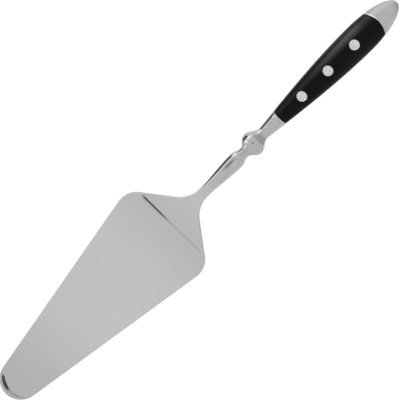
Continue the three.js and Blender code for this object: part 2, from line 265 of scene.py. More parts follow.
@dataclass(frozen=True)
class BlackAcetal:
    """Black acetal, moulded, ground flush with the tang and lightly buffed.

    The eye sees near black with a soft grey sheen where the round flank turns to the light.
    """

    name: str = "Acetal, moulded and buffed"
    colour: str = "0c0c0d"
    ior: float = 1.48
    crown_gloss: float = 0.08
    flank_gloss: float = 1.0
    roughness: float = 0.33
    roughness_spread: float = 0.08
    grain_size: float = 0.6  # the grain is finer, and is drawn this coarse so that it shows
    grain_depth: float = 0.03
    grain_relief: float = 0.1

    def material(self) -> bpy.types.Material:
        """Builds the node material.

        Returns:
            The material, which reads the attribute "flank" of the piece.
        """
        material, tree, shader = start_material(self.name)
        coord = add_node(tree, "ShaderNodeTexCoord", {}).outputs["Object"]
        grain = add_node(
            tree, "ShaderNodeTexNoise",
            {"Vector": coord, "Scale": per_mm(self.grain_size), "Detail": FINE_LAYERS})
        rough = add_node(
            tree, "ShaderNodeMapRange",
            {"Value": grain.outputs["Fac"], "To Min": self.roughness - self.roughness_spread,
             "To Max": self.roughness + self.roughness_spread})
        bump = add_node(
            tree, "ShaderNodeBump",
            {"Height": grain.outputs["Fac"], "Strength": self.grain_relief,
             "Distance": self.grain_depth * MM})
        flank = add_node(tree, "ShaderNodeAttribute", {}, attribute_name="flank")
        gloss = add_node(
            tree, "ShaderNodeMapRange",
            {"Value": flank.outputs["Fac"], "To Min": self.crown_gloss, "To Max": self.flank_gloss})
        shader.inputs["Base Color"].default_value = linear(self.colour)
        shader.inputs["IOR"].default_value = self.ior
        # Where a viewer drops the link below, the crown's gloss holds for the whole plate.
        shader.inputs["Specular IOR Level"].default_value = self.crown_gloss
        tree.links.new(gloss.outputs[0], shader.inputs["Specular IOR Level"])
        tree.links.new(rough.outputs[0], shader.inputs["Roughness"])
        tree.links.new(bump.outputs[0], shader.inputs["Normal"])
        return material


@dataclass(frozen=True)
class SandedAluminium:
    """Aluminium rivet heads, sanded flush with the scales.

    The eye sees a light, matt, finely speckled disc.
    """

    name: str = "Aluminium, sanded"
    colour: str = "e2e2e2"
    roughness: float = 0.5
    speckle_size: float = 0.8  # sanding marks are finer, and are drawn this coarse so that they show
    speckle_dark: float = 0.74
    speckle_light: float = 1.1
    speckle_depth: float = 0.02
    speckle_relief: float = 0.05

    def material(self) -> bpy.types.Material:
        """Builds the node material.

        Returns:
            The material.
        """
        material, tree, shader = start_material(self.name)
        coord = add_node(tree, "ShaderNodeTexCoord", {}).outputs["Object"]
        speckle = add_node(
            tree, "ShaderNodeTexNoise",
            {"Vector": coord, "Scale": per_mm(self.speckle_size), "Detail": FINE_LAYERS})
        shade = add_node(
            tree, "ShaderNodeMapRange",
            {"Value": speckle.outputs["Fac"], "From Min": NOISE_LOW, "From Max": NOISE_HIGH,
             "To Min": self.speckle_dark, "To Max": self.speckle_light})
        tone = add_node(
            tree, "ShaderNodeMix", {0: 1.0, COLOUR_A: linear(self.colour), COLOUR_B: shade.outputs[0]},
            data_type="RGBA", blend_type="MULTIPLY")
        bump = add_node(
            tree, "ShaderNodeBump",
            {"Height": speckle.outputs["Fac"], "Strength": self.speckle_relief,
             "Distance": self.speckle_depth * MM})
        shader.inputs["Metallic"].default_value = 1.0
        shader.inputs["Roughness"].default_value = self.roughness
        tree.links.new(tone.outputs[COLOUR_OUT], shader.inputs["Base Color"])
        tree.links.new(bump.outputs[0], shader.inputs["Normal"])
        return material


@dataclass(frozen=True)
class PaintedBoard:
    """Board painted matt white, lit from behind.

    The eye sees an even pale ground that takes no more than a breath of shadow.
    """

    name: str = "Board, painted matt"
    colour: str = "787878"
    glow_colour: str = "f4f4f4"
    glow: float = 0.98
    roughness: float = 0.85
    roughness_spread: float = 0.05
    cloud_size: float = 30.0

    def material(self) -> bpy.types.Material:
        """Builds the node material.

        Returns:
            The material.
        """
        material, tree, shader = start_material(self.name)
        coord = add_node(tree, "ShaderNodeTexCoord", {}).outputs["Object"]
        clouds = add_node(tree, "ShaderNodeTexNoise", {"Vector": coord, "Scale": per_mm(self.cloud_size)})
        rough = add_node(
            tree, "ShaderNodeMapRange",
            {"Value": clouds.outputs["Fac"], "To Min": self.roughness - self.roughness_spread,
             "To Max": self.roughness + self.roughness_spread})
        shader.inputs["Base Color"].default_value = linear(self.colour)
        shader.inputs["Emission Color"].default_value = linear(self.glow_colour)
        shader.inputs["Emission Strength"].default_value = self.glow
        tree.links.new(rough.outputs[0], shader.inputs["Roughness"])
        return material


def face_outwards(mesh: bmesh.types.BMesh) -> None:
    """Turns the faces of a closed mesh outwards, also after its points were moved or mirrored.

    Args:
        mesh: Closed mesh.
    """
    mesh.normal_update()
    bmesh.ops.recalc_face_normals(mesh, faces=mesh.faces)
    if mesh.calc_volume(signed=True) < 0:
        bmesh.ops.reverse_faces(mesh, faces=mesh.faces)
    mesh.normal_update()


def mapped_grid(rows: int, columns: int, place: Callable[[int, int], Vector]) -> bmesh.types.BMesh:
    """Lays a grid of quads over a surface and welds where its edges meet.

    Args:
        rows: Steps of the grid along the piece.
        columns: Steps of the grid round the piece.
        place: Gives the point, in mm, for a row and a column.

    Returns:
        A closed mesh with its faces outwards.
    """
    mesh = bmesh.new()
    bmesh.ops.create_grid(mesh, x_segments=rows, y_segments=columns, size=1.0)
    for vert in mesh.verts:
        row = round((vert.co.x + 1) / 2 * rows)
        column = round((vert.co.y + 1) / 2 * columns)
        vert.co = place(row, column)
    bmesh.ops.remove_doubles(mesh, verts=mesh.verts, dist=WELD)
    bmesh.ops.dissolve_degenerate(mesh, dist=WELD, edges=mesh.edges)
    face_outwards(mesh)
    return mesh


def spun(outline: list[tuple[float, float]], steps: int) -> bmesh.types.BMesh:
    """Spins a half outline round the z axis.

    Args:
        outline: Radius and height of each corner, from the axis out and back to the axis.
        steps: Steps of the full turn.

    Returns:
        A closed mesh with its faces outwards.
    """
    mesh = bmesh.new()
    verts = [mesh.verts.new((radius, 0, height)) for radius, height in outline]
    edges = [mesh.edges.new(pair) for pair in zip(verts, verts[1:])]
    bmesh.ops.spin(
        mesh, geom=verts + edges, cent=(0, 0, 0), axis=(0, 0, 1), angle=math.tau, steps=steps, use_merge=True)
    bmesh.ops.remove_doubles(mesh, verts=mesh.verts, dist=WELD)
    face_outwards(mesh)
    return mesh


def make_piece(name: str, mesh: bmesh.types.BMesh, place: Matrix, sharp: float) -> bpy.types.Object:
    """Puts a mesh into the scene as one smooth-shaded object at the origin.

    Args:
        name: Name of the piece.
        mesh: Mesh in mm. It is freed.
        place: Takes mm in the mesh's own frame to metres in the frame of the solids.
        sharp: Edges that turn by more than this many degrees are shaded sharp.

    Returns:
        The new object.
    """
    bmesh.ops.transform(mesh, matrix=place, verts=mesh.verts)
    data = bpy.data.meshes.new(name)
    mesh.to_mesh(data)
    mesh.free()
    data.shade_smooth()
    data.set_sharp_from_angle(angle=math.radians(sharp))
    piece = bpy.data.objects.new(name, data)
    bpy.context.scene.collection.objects.link(piece)
    return piece


def bore(piece: bpy.types.Object, drills: list[bpy.types.Object], sharp: float) -> None:
    """Cuts drills out of a piece and takes the drills away.

    Args:
        piece: Piece that is cut.
        drills: Closed meshes. They are removed.
        sharp: Edges that turn by more than this many degrees are shaded sharp.
    """
    for drill in drills:
        cut = piece.modifiers.new(drill.name, "BOOLEAN")
        cut.operation = "DIFFERENCE"
        cut.solver = "EXACT"
        cut.object = drill
    graph = bpy.context.evaluated_depsgraph_get()
    data = bpy.data.meshes.new_from_object(piece.evaluated_get(graph), depsgraph=graph)
    data.set_sharp_from_angle(angle=math.radians(sharp))
    plain = piece.data
    piece.modifiers.clear()
    piece.data = data
    bpy.data.meshes.remove(plain)
    for drill in drills:
        bpy.data.meshes.remove(drill.data)


def dress_piece(piece: bpy.types.Object, node: str, material: bpy.types.Material) -> None:
    """Gives a piece its finish, lets it ride on the server and stand for its solid.

    Args:
        piece: Finished piece.
        node: Name of the solid that it stands for.
        material: Finish of the piece.
    """
    piece.data.materials.append(material)
    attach(piece, "root")
    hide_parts(node)


@dataclass(frozen=True)
class Plan:
    """The blade and its heel seen from above: round tip, straight sides, shoulders that sweep in.

    Attributes:
        length: From the crease to the tip.
        tip_radius: Radius of the round tip.
        side: Angle between the middle line and a long side.
        setback: From the crease to the corner between a long side and its shoulder.
        heel_radius: Radius of that corner.
        shoulder: Angle between the middle line and a shoulder.
        shoulder_radius: Radius of the sweep from a shoulder into the stem.
        stem_half: Half width of the stem.
    """

    length: float = 109.2
    tip_radius: float = 9.7
    side: float = math.radians(9.55)
    setback: float = 3.6
    heel_radius: float = 10.0
    shoulder: float = math.radians(52.9)
    shoulder_radius: float = 13.0
    stem_half: float = 2.53

    @property
    def tip_centre(self) -> float:
        """Middle of the round tip."""
        return self.tip_radius - self.length

    @property
    def tip_end(self) -> float:
        """Where the round tip turns into the straight sides."""
        return self.tip_centre - self.tip_radius * math.sin(self.side)

    @property
    def heel_half(self) -> float:
        """Half width at the sharp corner that the heel's round replaces."""
        apex = self.tip_centre - self.tip_radius / math.sin(self.side)
        return (-self.setback - apex) * math.tan(self.side)

    @property
    def heel_centre(self) -> Vector:
        """Centre of the heel's round.

        Returns:
            Its x and y.
        """
        reach = self.heel_radius * math.tan((self.side + self.shoulder) / 2)
        back = Vector((math.cos(self.side), math.sin(self.side)))
        inward = Vector((math.sin(self.side), -math.cos(self.side)))
        return Vector((-self.setback, self.heel_half)) - reach * back + self.heel_radius * inward

    @property
    def heel_start(self) -> float:
        """Where the straight sides turn into the heel's round."""
        return self.heel_centre.x - self.heel_radius * math.sin(self.side)

    @property
    def stem_start(self) -> float:
        """Where the shoulders have swept into the stem."""
        end = (self.heel_half - self.stem_half) / math.tan(self.shoulder) - self.setback
        return end + self.shoulder_radius * math.tan(self.shoulder / 2)

    def edge(self, x: float) -> tuple[float, float]:
        """Half width of the blade and direction of its edge's normal.

        Args:
            x: Place along the blade.

        Returns:
            Half width, and the angle of the outward normal from +x.
        """
        heel = self.heel_centre
        heel_end = heel.x + self.heel_radius * math.sin(self.shoulder)
        sweep_start = self.stem_start - self.shoulder_radius * math.sin(self.shoulder)
        if x <= self.tip_end:
            cosine = max((x - self.tip_centre) / self.tip_radius, -1.0)
            return self.tip_radius * math.sqrt(1 - cosine ** 2), math.acos(cosine)
        if x <= self.heel_start:
            half = self.heel_half + (x + self.setback) * math.tan(self.side)
            return half, math.pi / 2 + self.side
        if x <= heel_end:
            cosine = (x - heel.x) / self.heel_radius
            return heel.y + self.heel_radius * math.sqrt(1 - cosine ** 2), math.acos(cosine)
        if x <= sweep_start:
            half = self.heel_half - (x + self.setback) * math.tan(self.shoulder)
            return half, math.pi / 2 - self.shoulder
        cosine = max((self.stem_start - x) / self.shoulder_radius, 0.0)
        half = self.stem_half + self.shoulder_radius * (1 - math.sqrt(1 - cosine ** 2))
        return half, math.acos(cosine)


@dataclass(frozen=True)
class Swelling:
    """A stretch of the neck's outline, seen from above, that is level at both its ends.

    Attributes:
        length: Its length along the middle line.
        half: Half width at its end.
        lead: Share of its length that it stays level at its start.
        trail: The same at its end.
        steps: Points along it.
    """

    length: float
    half: float
    lead: float
    trail: float
    steps: int

    def points(self, start: Vector) -> list[Vector]:
        """Lays the stretch on from where the one before it ends.

        Args:
            start: Length along the middle line and half width at its start.

        Returns:
            Length and half width of each point, without the first.
        """
        end = Vector((start.x + self.length, self.half))
        first = Vector((start.x + self.lead * self.length, start.y))
        second = Vector((end.x - self.trail * self.length, end.y))
        return [point.xy for point in interpolate_bezier(start, first, second, end, self.steps + 1)][1:]


@dataclass(frozen=True)
class Neck:
    """Outline of the neck along its middle line, counted from the crease.

    Attributes:
        plan: Outline of the blade, which the neck goes on from.
        pitch: Slope of the neck.
        collar: Stretch from the stem's start to the collar.
        waist: Stretch from there to the waist.
        knob: Stretch from there to the widest place of the knob.
        throat: Stretch from there to the throat.
        bolster_length: From there to the grip.
        bolster_rows: Cross-sections of the bolster.
    """

    plan: Plan
    pitch: float = math.radians(12)
    collar: Swelling = Swelling(length=20.9, half=3.8, lead=0.35, trail=0.35, steps=24)
    waist: Swelling = Swelling(length=6.0, half=2.5, lead=0.6, trail=0.6, steps=18)
    knob: Swelling = Swelling(length=5.6, half=5.9, lead=0.5, trail=0.5, steps=20)
    throat: Swelling = Swelling(length=7.5, half=2.85, lead=0.35, trail=0.55, steps=28)
    bolster_length: float = 10.9
    bolster_rows: int = 14

    @property
    def stem_at(self) -> float:
        """Where the stem starts."""
        return self.plan.stem_start / math.cos(self.pitch)

    @property
    def waist_at(self) -> float:
        """Where the neck is narrowest behind the collar."""
        return self.stem_at + self.collar.length + self.waist.length

    @property
    def knob_at(self) -> float:
        """Where the knob is widest."""
        return self.waist_at + self.knob.length

    @property
    def throat_at(self) -> float:
        """Where the neck is narrowest behind the knob."""
        return self.knob_at + self.throat.length

    @property
    def grip_at(self) -> float:
        """Where the scales start."""
        return self.throat_at + self.bolster_length


@dataclass(frozen=True)
class Spine:
    """Middle line of neck and grip in the plane of symmetry, measured from the crease.

    Attributes:
        neck_pitch: Slope of the neck.
        throat: Length at which the neck bends into the grip.
        blade_half: Half the thickness of the blade.
        grip_pitch: Slope of the grip.
        bend_reach: Half the length of the bend.
    """

    neck_pitch: float
    throat: float
    blade_half: float = 0.9
    grip_pitch: float = math.radians(17.5)
    bend_reach: float = 5.0

    def point(self, along: float) -> Vector:
        """Finds a point of the middle line, which is the blade's own before the crease.

        Args:
            along: Length from the crease, negative towards the tip.

        Returns:
            The point.
        """
        if along <= 0:
            return Vector((along, 0, self.blade_half))
        start = Vector((0, 0, self.blade_half))
        neck = Vector((math.cos(self.neck_pitch), 0, math.sin(self.neck_pitch)))
        grip = Vector((math.cos(self.grip_pitch), 0, math.sin(self.grip_pitch)))
        past = along - self.throat
        if past <= -self.bend_reach:
            return start + along * neck
        corner = start + self.throat * neck
        if past >= self.bend_reach:
            return corner + past * grip
        share = (past + self.bend_reach) / (2 * self.bend_reach)
        bend = -self.bend_reach * (1 - share) ** 2 * neck + self.bend_reach * share ** 2 * grip
        return corner + bend

    def pitch(self, along: float, settled: float) -> float:
        """Tilt of a cross-section: upright at the crease, square to the spine once settled.

        Args:
            along: Length from the crease.
            settled: Length from which the section is square to the spine.

        Returns:
            Tilt in radians.
        """
        if along <= settled:
            return self.neck_pitch * min(max(along / settled, 0.0), 1.0)
        share = (along - self.throat + self.bend_reach) / (2 * self.bend_reach)
        return mix(self.neck_pitch, self.grip_pitch, min(max(share, 0.0), 1.0))


@dataclass(frozen=True)
class Grip:
    """Outer form of the grip in its own frame: x from the bolster, z square to the tang.

    Attributes:
        start_half: Half width at the bolster.
        full_half: Half width at the widest place.
        belly: From the bolster to where the side would reach full width if it went straight on.
        length: From the bolster to the end of the pommel.
        nose: Length of the rounded end, from the widest place.
        start_aspect: Height as a share of the width, at the bolster.
        full_aspect: The same at the widest place.
        power: Squareness of the section, where 2 is a plain oval.
        scale_length: Length of the scales on the middle line.
        scale_bulge: How far their round end stands out.
        tang_half: Half the thickness of the tang.
        seat_gap: Clearance round the scales.
        first_rivet: From the bolster to the first rivet.
        last_rivet: From the bolster to the last one.
        rivet_count: How many there are, evenly spaced.
    """

    start_half: float = 4.1
    full_half: float = 7.62
    belly: float = 32.0
    length: float = 77.8
    nose: float = 24.6
    start_aspect: float = 0.9
    full_aspect: float = 0.64
    power: float = 2.6
    scale_length: float = 65.9
    scale_bulge: float = 3.8
    tang_half: float = 1.25
    seat_gap: float = 0.2
    first_rivet: float = 15.3
    last_rivet: float = 50.5
    rivet_count: int = 3

    @property
    def rivet_places(self) -> Numbers:
        """Where the rivets sit along the grip."""
        return spread(self.first_rivet, self.last_rivet, self.rivet_count)

    @property
    def end_radius(self) -> float:
        """Radius of the round end of the scales."""
        return (self.full_half ** 2 + self.scale_bulge ** 2) / (2 * self.scale_bulge)

    @property
    def widest(self) -> float:
        """Where the sides stop swelling and the rounded end begins."""
        return self.length - self.nose

    def half_width(self, x: float) -> float:
        """Half width of the grip: swelling sides, then a rounded end.

        Args:
            x: Place along the grip.

        Returns:
            Half width there.
        """
        if x >= self.widest:
            return self.full_half * math.sqrt(max(1 - ((x - self.widest) / self.nose) ** 2, 0.0))
        pull = self.widest - 2 * self.belly
        share = (math.sqrt(self.belly ** 2 + pull * max(x, 0.0)) - self.belly) / pull
        return self.start_half + (self.full_half - self.start_half) * (2 * share - share ** 2)

    def half_height(self, x: float) -> float:
        """Half height of the grip on its middle line."""
        share = min(max(x / self.widest, 0.0), 1.0)
        return self.half_width(x) * mix(self.start_aspect, self.full_aspect, share)

    def crown(self, x: float, y: float) -> float:
        """Height of the grip's surface above the middle of the tang."""
        share = min(abs(y) / self.half_width(x), 1.0)
        return self.half_height(x) * (1 - share ** self.power) ** (1 / self.power)

    def scale_end(self, y: float, gap: float) -> float:
        """Where the round end of the scales lies at a distance from the middle line."""
        radius = self.end_radius + gap
        return self.scale_length - self.end_radius + math.sqrt(max(radius ** 2 - y ** 2, 0.0))

    def settle(self, share: float, start: float, sideways: float, gap: float) -> tuple[float, float]:
        """Finds the place on a lengthwise line that ends on the round end of the scales.

        Args:
            share: How far along the line, from 0 at its start to 1 at the round end.
            start: Where the line starts.
            sideways: Distance of the line from the middle, as a share of the half width.
            gap: Clearance that the round end keeps.

        Returns:
            Place along the grip and distance from its middle line.
        """
        end = self.scale_length
        for _ in range(ROUNDS):
            end = self.scale_end(sideways * self.half_width(end), gap)
        x = mix(start, end, share)
        return x, sideways * self.half_width(x)


def oval(angle: float, power: float) -> Vector:
    """Point on a squared-off circle of half width and half height 1."""
    cosine, sine = math.cos(angle), math.sin(angle)
    return Vector((
        math.copysign(abs(cosine) ** (2 / power), cosine),
        math.copysign(abs(sine) ** (2 / power), sine)))


def chamfered(angle: float, power: float, flat: float, slope: float, crisp: float) -> Vector:
    """Point on a square of half width 1 whose corners are cut off and softly rounded.

    Args:
        angle: Which point.
        power: Squareness of the circle that spaces the points.
        flat: Half width of the flat that the cut corners leave, as a share.
        slope: How steep the cut is.
        crisp: How tight the rounding between the flats is.

    Returns:
        Sideways and upward share.
    """
    way = oval(angle, power)
    cut = (slope * abs(way.x) + abs(way.y)) / (1 + slope * flat)
    size = (abs(way.x) ** crisp + abs(way.y) ** crisp + cut ** crisp) ** (1 / crisp)
    return way / size


@dataclass
class Rivet:
    """One half of a two-part rivet: a head in a scale, and a shank or a tube.

    Attributes:
        number: Which rivet, counted from the bolster.
        at: Its place along the grip.
        head_depth: From the top of the grip to the inside of the head.
        rim: Width of the head's eased rim.
        rim_cut: Where the corner of the rim is cut, as a share of the rim.
        floor: What is left of the sleeve under its bore.
        head_gap: Clearance of the head in its seat.
        tube_gap: Clearance of the tube in its bore.
        end_gap: Clearance past the end of the shank, and twice that past the end of the tube.
    """

    grip: Grip
    number: int
    side: Side
    at: float
    head_radius: float = 2.5
    head_depth: float = 1.2
    rim: float = 0.12
    rim_cut: float = 0.3
    shank_radius: float = 1.1
    tube_radius: float = 1.85
    bore_radius: float = 1.25
    floor: float = 0.6
    head_gap: float = 0.12
    tube_gap: float = 0.15
    end_gap: float = 0.2
    steps: int = 48
    sharp: float = 40.0

    @property
    def kind(self) -> str:
        """What the half is called."""
        return "stud" if self.side is Side.UPPER else "sleeve"

    @property
    def seat(self) -> float:
        """Height of the flat inside of the head, with the head's top at 0."""
        return -self.head_depth

    @property
    def far_seat(self) -> float:
        """Height of the flat inside of the other half's head."""
        return self.head_depth - 2 * self.grip.half_height(self.at)

    def outline(self) -> list[tuple[float, float]]:
        """Half outline, from the axis inside the grip to the middle of the head.

        Returns:
            Radius and height of each corner, with the head's top at 0.
        """
        corner = self.rim * self.rim_cut
        head = [
            (self.head_radius, self.seat), (self.head_radius, -self.rim),
            (self.head_radius - corner, -corner), (self.head_radius - self.rim, 0.0),
            (self.head_radius / 2, 0.0), (0.0, 0.0)]
        if self.side is Side.UPPER:
            end = self.far_seat + self.floor + self.end_gap
            return [(0.0, end), (self.shank_radius, end), (self.shank_radius, self.seat)] + head
        end = self.far_seat + 2 * self.end_gap
        inside = self.seat - self.floor
        tube = [(0.0, inside), (self.bore_radius, inside), (self.bore_radius, end)]
        return tube + [(self.tube_radius, end), (self.tube_radius, self.seat)] + head

    def drill(self, place: Matrix) -> bpy.types.Object:
        """Makes the stepped drill for the seat of the head and the bore right through the grip.

        Args:
            place: Takes the grip's frame to the frame of the solids.

        Returns:
            The drill, which is a closed mesh.
        """
        wide = self.head_radius + self.head_gap
        narrow = self.tube_radius + self.tube_gap
        step = self.seat - self.head_gap
        end = self.far_seat - self.head_depth - self.head_gap
        top = self.head_depth
        outline = [(0.0, end), (narrow, end), (narrow, step), (wide, step), (wide, top), (0.0, top)]
        mesh = spun(outline, self.steps)
        middle = self.grip.half_height(self.at)
        for vert in mesh.verts:
            vert.co = Vector((self.at + vert.co.x, vert.co.y, (middle + vert.co.z) * self.side.value))
        face_outwards(mesh)
        return make_piece(f"drill_{self.number}", mesh, place, self.sharp)

    def build(self, place: Matrix) -> bpy.types.Object:
        """Spins the half outline and lays the head's top on the grip's round surface.

        Args:
            place: Takes the grip's frame to the frame of the solids.

        Returns:
            The half rivet.
        """
        mesh = spun(self.outline(), self.steps)
        middle = self.grip.half_height(self.at)
        for vert in mesh.verts:
            on_top = vert.co.z > self.seat / 2
            top = self.grip.crown(self.at + vert.co.x, vert.co.y) if on_top else middle
            vert.co = Vector((self.at + vert.co.x, vert.co.y, (top + vert.co.z) * self.side.value))
        face_outwards(mesh)
        return make_piece(f"finished_{self.kind}_{self.number}", mesh, place, self.sharp)

    def dress(self, piece: bpy.types.Object, material: bpy.types.Material) -> None:
        """Dresses the half rivet."""
        dress_piece(piece, f"rivet_{self.kind}_{self.number}", material)


@dataclass(frozen=True)
class Mark:
    """A place on the neck painted darker, as painted shade and dark reflection, or painted brighter where its
    tone is negative, as a painted highlight.

    Attributes:
        x: Place of its middle along the neck.
        y: Its place across the neck.
        half_length: Half its length.
        half_width: Half its width.
        tone: How dark it is at its core.
        core: Share of its half size up to which it has its full tone.
        rim: Share at which it has faded out.
    """

    x: float
    y: float
    half_length: float
    half_width: float
    tone: float
    core: float = 0.4
    rim: float = 1.2

    def shade(self, point: Vector) -> float:
        """How much painted shade the mark gives at a point of the surface; below 0 it is a painted highlight.
        """
        away = math.hypot((point.x - self.x) / self.half_length, (point.y - self.y) / self.half_width)
        return self.tone * (1 - smooth(self.core, self.rim, away))


@dataclass(frozen=True)
class Crease:
    """The groove across the heel, deep on one half of the blade and faint on the other, with painted shade in
    it that follows its depth.

    Attributes:
        half: Half its width.
        floor: Share of that over which it is full deep.
        depth: Its depth.
        faint: Depth share on the faint half.
        faint_to: Place across the blade up to which it is faint.
        full_from: Place from which it is full deep.
        fade_from: Distance from the middle line where it starts to run out.
        end: Where it has run out.
        margin: Distance to the next cross-sections.
        rows: Cross-sections over it, as shares of its half width.
    """

    half: float = 0.55
    floor: float = 0.5
    depth: float = 0.15
    faint: float = 0.19
    faint_to: float = -1.0
    full_from: float = 9.0
    fade_from: float = 18.3
    end: float = 19.3
    margin: float = 1.2
    rows: tuple[float, ...] = (-1.2, -1.0, -0.6, 0.0, 0.6, 1.0, 1.2)

    def share(self, x: float, y: float) -> float:
        """Depth share at a place, from 0 outside to 1 where it is full deep.

        Args:
            x: Distance along the blade from the middle of the crease.
            y: Place across the blade.

        Returns:
            Depth share.
        """
        across = 1 - smooth(self.half * self.floor, self.half, abs(x))
        lengthwise = mix(self.faint, 1.0, smooth(self.faint_to, self.full_from, y))
        return across * lengthwise * (1 - smooth(self.fade_from, self.end, abs(y)))


@dataclass(frozen=True)
class Lip:
    """The ground rim of the tip, whose inner edge is an arc that runs out on the straight sides.

    Attributes:
        plan: Outline of the blade.
        width: Width at the tip.
        depth: How far it lies below the blade's face.
        run: Width of the slope between the two.
        skew: How much wider it is ground on one side.
        fade_from: It starts to run out this far before its end.
        fade_to: It has run out this far before its end.
    """

    plan: Plan
    width: float = 2.05
    depth: float = 1.2
    run: float = 1.55
    skew: float = 0.5
    fade_from: float = 7.0
    fade_to: float = 1.8

    @property
    def shift(self) -> float:
        """How far the centre of the inner arc lies behind the tip's own."""
        return self.width / (1 - math.sin(self.plan.side))

    @property
    def radius(self) -> float:
        """Radius of the inner arc."""
        return self.plan.tip_radius + self.shift * math.sin(self.plan.side)

    @property
    def end(self) -> float:
        """Where the inner arc meets the straight sides."""
        return self.plan.tip_centre + self.shift - self.radius * math.sin(self.plan.side)

    def inset(self, x: float, half: float, normal: Vector, hand: float) -> float:
        """How far the inner edge of the lip lies inside the blade's edge.

        Args:
            x: Place along the blade.
            half: Half width there.
            normal: Outward normal of the edge.
            hand: Which side of the middle line, 1 or -1.

        Returns:
            Distance in mm, 0 past the end of the lip.
        """
        away = Vector((x - self.plan.tip_centre - self.shift, half + hand * self.skew))
        across = away.dot(normal)
        inset = across - math.sqrt(max(across ** 2 - away.length_squared + self.radius ** 2, 0.0))
        return max(inset, 0.0) * (1 - smooth(self.end - self.fade_from, self.end - self.fade_to, x))


@dataclass
class Forging:
    """Blade, heel, neck, bolster and tang, forged in one piece.

    Attributes:
        foot_clear: Nearest that the foot of the lip's slope comes to the blade's edge.
        brow_clear: The same for the top of that slope.
        flat_margin: From the top of the slope to the first point of the flat.
        ridge_back: How far the ridge of the knob lies behind its widest place.
        rise_power: Form of the rise to the ridge: 1 is straight, and more is hollow.
        drop_power: The same for the drop behind it.
        round_from: Length along the spine where the plate starts to turn into the neck's own section.
        cut_from: Length where the cut corners of that section start.
        cut_limit: Steepest cut, as a share.
        plateau_half: Half width of the knob's flat top at the knob's widest place.
        plateau_flare: How fast that flat top widens towards the ridge.
        oval_run: Length over which the section turns into the grip's oval.
    """

    plan: Plan
    neck: Neck
    spine: Spine
    grip: Grip
    lip: Lip
    rivets: list[Rivet]
    crease: Crease = Crease()
    # Painted shade and dark reflections on the neck, and painted highlights where the tone is negative.
    marks: tuple[Mark, ...] = (
        Mark(x=38.0, y=1.2, half_length=4.3, half_width=0.72, tone=0.55),
        Mark(x=44.5, y=1.1, half_length=0.9, half_width=0.7, tone=0.2),
        Mark(x=47.0, y=0.3, half_length=3.2, half_width=1.2, tone=0.12),
        Mark(x=52.4, y=0.5, half_length=0.7, half_width=0.6, tone=0.65),
        Mark(x=42.5, y=2.75, half_length=1.2, half_width=0.7, tone=-0.5),
        Mark(x=48.7, y=2.0, half_length=1.1, half_width=0.4, tone=-0.65),
        Mark(x=51.0, y=3.0, half_length=1.0, half_width=0.6, tone=-0.75),
        Mark(x=53.3, y=3.5, half_length=1.3, half_width=0.8, tone=-0.5),
        Mark(x=58.0, y=1.95, half_length=1.4, half_width=0.5, tone=-0.6))
    thickness: float = 1.8
    edge_radius: float = 0.45
    foot_clear: float = 0.5
    brow_clear: float = 0.54
    flat_margin: float = 0.25
    stem_aspect: float = 0.6
    ridge_back: float = 3.7
    ridge_half: float = 5.1
    throat_rise: float = 2.7
    rise_power: float = 1.3
    drop_power: float = 1.4
    round_from: float = 7.0
    round_full: float = 14.0
    root_flat: float = 0.96
    neck_flat: float = 0.64
    cut_from: float = 12.0
    cut_full: float = 30.0
    cut_limit: float = 1.6
    flank_tilt: float = math.radians(40)
    neck_crisp: float = 18.0
    plateau_half: float = 4.05
    plateau_flare: float = 0.19
    plateau_limit: float = 0.9
    knob_tilt: float = math.radians(47)
    knob_crisp: float = 10.0
    oval_run: float = 2.0
    tip_rows: int = 32
    lip_rows: int = 9
    blade_rows: int = 22
    heel_rows: int = 14
    sweep_rows: int = 40
    tang_rows: int = 24
    edge_steps: int = 5
    half_steps: int = 44
    sharp: float = 30.0
    stations: list[tuple[float, float]] = field(default_factory=list)

    @property
    def top_steps(self) -> int:
        """Steps across half of the flat top."""
        return (self.half_steps - 2 * self.edge_steps) // 2

    @property
    def ridge_at(self) -> float:
        """Where the knob is highest."""
        return self.neck.knob_at + self.ridge_back

    def lay_stations(self) -> None:
        """Lists every cross-section as a length along the spine and a half width."""
        plan, neck, crease = self.plan, self.neck, self.crease
        arc = spread(math.pi, math.pi / 2 + plan.side, self.tip_rows)
        places = [plan.tip_centre + plan.tip_radius * math.cos(angle) for angle in arc]
        places += spread(plan.tip_end, self.lip.end, self.lip_rows)[1:]
        places += spread(self.lip.end, plan.heel_start, self.blade_rows)[1:-1]
        places += spread(plan.heel_start, -crease.margin, self.heel_rows)
        places += [share * crease.half for share in crease.rows]
        self.stations = [(x, plan.edge(x)[0]) for x in places]
        for along in spread(crease.margin, neck.stem_at, self.sweep_rows):
            self.stations.append((along, plan.edge(along * math.cos(neck.pitch))[0]))
        end = Vector((neck.stem_at, plan.stem_half))
        for swelling in (neck.collar, neck.waist, neck.knob, neck.throat):
            points = swelling.points(end)
            self.stations += [(point.x, point.y) for point in points]
            end = points[-1]
        for share in spread(0.0, 1.0, neck.bolster_rows)[1:]:
            half = mix(neck.throat.half, self.grip.start_half, share)
            self.stations.append((neck.throat_at + share * neck.bolster_length, half))

    def half_height(self, along: float) -> float:
        """Half height of blade or neck, which rises up to the ridge of the knob and then drops.

        Args:
            along: Length along the spine.

        Returns:
            Half height there.
        """
        root = self.plan.stem_half * self.stem_aspect
        neck = self.neck
        if along <= neck.stem_at:
            return mix(self.thickness / 2, root, max(along, 0.0) / neck.stem_at)
        if along <= self.ridge_at:
            share = (along - neck.stem_at) / (self.ridge_at - neck.stem_at)
            return mix(root, self.ridge_half, share ** self.rise_power)
        if along <= neck.throat_at:
            share = (neck.throat_at - along) / (neck.throat_at - self.ridge_at)
            return mix(self.throat_rise, self.ridge_half, share ** self.drop_power)
        share = (along - neck.throat_at) / neck.bolster_length
        return mix(self.throat_rise, self.grip.half_height(0.0), share)

    def brow(self, lip: float) -> float:
        """How far the top of the lip's slope lies inside the blade's edge."""
        return max(lip + self.lip.run * smooth(0.0, self.lip.width, lip) / 2, self.brow_clear)

